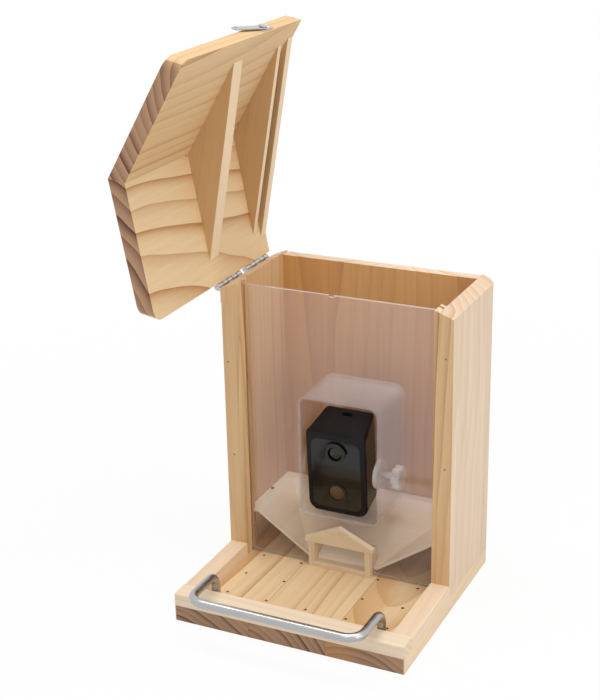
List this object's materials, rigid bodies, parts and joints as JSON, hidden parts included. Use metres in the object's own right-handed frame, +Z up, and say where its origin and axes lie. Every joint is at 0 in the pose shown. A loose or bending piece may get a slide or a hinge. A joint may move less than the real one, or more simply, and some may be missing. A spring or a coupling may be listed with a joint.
{
  "type": "smart bird feeder",
  "caption": "Wooden hopper bird feeder with a hinged gable lid, clear front window holding a boxed camera, house-shaped feeding port, tray and wire perch.",
  "frame": {"origin": "centre of the base board's underside", "axes": "+Z up, -Y towards the tray and the viewer, +X to the viewer's right"},
  "size_m": [0.2617, 0.25, 0.5086],
  "materials": {
    "base_pine": "planed and oiled",
    "wall_pine": "planed and oiled",
    "lid_pine": "planed and oiled",
    "pale_wood": "sanded, unfinished",
    "clear_sheet": "clear, polished",
    "perch_steel": "brushed",
    "nickel": "nickel plated",
    "camera_black": "glossy",
    "camera_gloss": "mirror glossy",
    "lens_glass": "polished",
    "sensor_dome": "satin",
    "circuit": "matt",
    "battery": "matt"
  },
  "bodies": {
    "base": {"base_board": "base_pine", "front_rim": "base_pine", "left_rim": "base_pine", "right_rim": "base_pine", "left_panel": "wall_pine", "right_panel": "wall_pine", "back_board_left": "wall_pine", "back_board_right": "wall_pine", "left_front_bead": "wall_pine", "left_rear_bead": "wall_pine", "right_front_bead": "wall_pine", "right_rear_bead": "wall_pine", "left_cleat": "wall_pine", "right_cleat": "wall_pine", "back_cleat": "wall_pine", "port_sill": "pale_wood", "port_left_post": "pale_wood", "port_right_post": "pale_wood", "port_gable": "pale_wood", "port_left_roof": "pale_wood", "port_right_roof": "pale_wood", "seed_funnel": "pale_wood", "front_window": "clear_sheet", "camera_box": "clear_sheet", "rest_pad": "clear_sheet", "perch_bar": "perch_steel", "perch_screws": "nickel", "wall_screws": "nickel", "funnel_nails": "nickel", "hinge_wall_leaves": "nickel", "hinge_pins": "nickel", "hinge_wall_screws": "nickel"},
    "lid": {"roof_left": "lid_pine", "roof_right": "lid_pine", "front_gable": "lid_pine", "inner_rear_gable": "lid_pine", "outer_rear_gable": "lid_pine", "hinge_lid_leaves": "nickel", "hinge_lid_screws": "nickel", "latch_plate": "nickel", "latch_rivet": "nickel", "latch_screws": "nickel"},
    "latch": {"latch_arm": "nickel"},
    "clamp_pad": {"clamp_pad": "clear_sheet"},
    "clamp_screw": {"clamp_screw": "clear_sheet", "clamp_knob": "clear_sheet"},
    "camera": {"camera_shell": "camera_black", "camera_face": "camera_gloss", "camera_lens_ring": "camera_black", "camera_lens": "lens_glass", "camera_hood": "camera_black", "camera_sensor": "sensor_dome", "camera_board": "circuit", "camera_battery": "battery"}
  },
  "joints": [
    {"name": "lid_hinge", "type": "hinge", "parent": "base", "child": "lid", "pos_m": [-0.1145, 0.04925, 0.2795], "axis": [0, 1, 0], "range_deg": [0, 80]},
    {"name": "latch_pivot", "type": "hinge", "parent": "lid", "child": "latch", "pos_m": [-0.08163, 0.04, 0.50471], "axis": [0.1736, 0, 0.9848], "range_deg": [0, 116]},
    {"name": "clamp_slide", "type": "slide", "parent": "base", "child": "clamp_pad", "axis": [-1, 0, 0], "range_m": [0, 0.0067]},
    {"name": "clamp_turn", "type": "hinge", "parent": "clamp_pad", "child": "clamp_screw", "pos_m": [0.04, 0.027, 0.111], "axis": [-1, 0, 0], "range_deg": [0, 1205.99]},
    {"name": "camera_slide", "type": "slide", "parent": "base", "child": "camera", "axis": [0, -1, 0], "range_m": [0, 0.024]}
  ],
  "couplings": [
    {"joint": "clamp_slide", "follows": "clamp_turn", "m_per_rad": 0.00031831}
  ]
}
